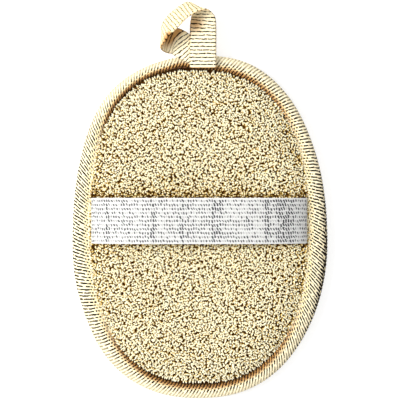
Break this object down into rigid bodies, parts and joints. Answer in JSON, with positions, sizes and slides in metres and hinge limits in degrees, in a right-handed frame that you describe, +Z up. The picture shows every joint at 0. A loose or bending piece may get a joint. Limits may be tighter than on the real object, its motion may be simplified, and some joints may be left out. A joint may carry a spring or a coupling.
{
  "type": "loofah bath pad",
  "caption": "Oval padded loofah bath pad with a terry back, a bound ribbed rim, an elastic hand strap across it and a sewn hanging loop.",
  "frame": {"origin": "under the middle of the whole part, hanging loop included, on the surface that the loofah face lies on", "axes": "+Z up, out of the terry side with the hand strap; +Y along the pad's length, towards the hanging loop; +X across the pad, along the strap"},
  "size_m": [0.1126, 0.1759, 0.0233],
  "materials": {
    "terry": "matt unbleached cotton loops",
    "foam": "soft open-cell sheet",
    "loofah": "dry pressed plant fibre with a faint sheen",
    "tape": "ribbed woven cotton tape",
    "elastic": "white woven elastic with a low sheen"
  },
  "bodies": {
    "root": {"terry_face": "terry", "foam_core": "foam", "loofah_face": "loofah", "edge_binding": "tape", "hand_strap": "elastic", "hanging_loop": "tape"}
  },
  "joints": []
}
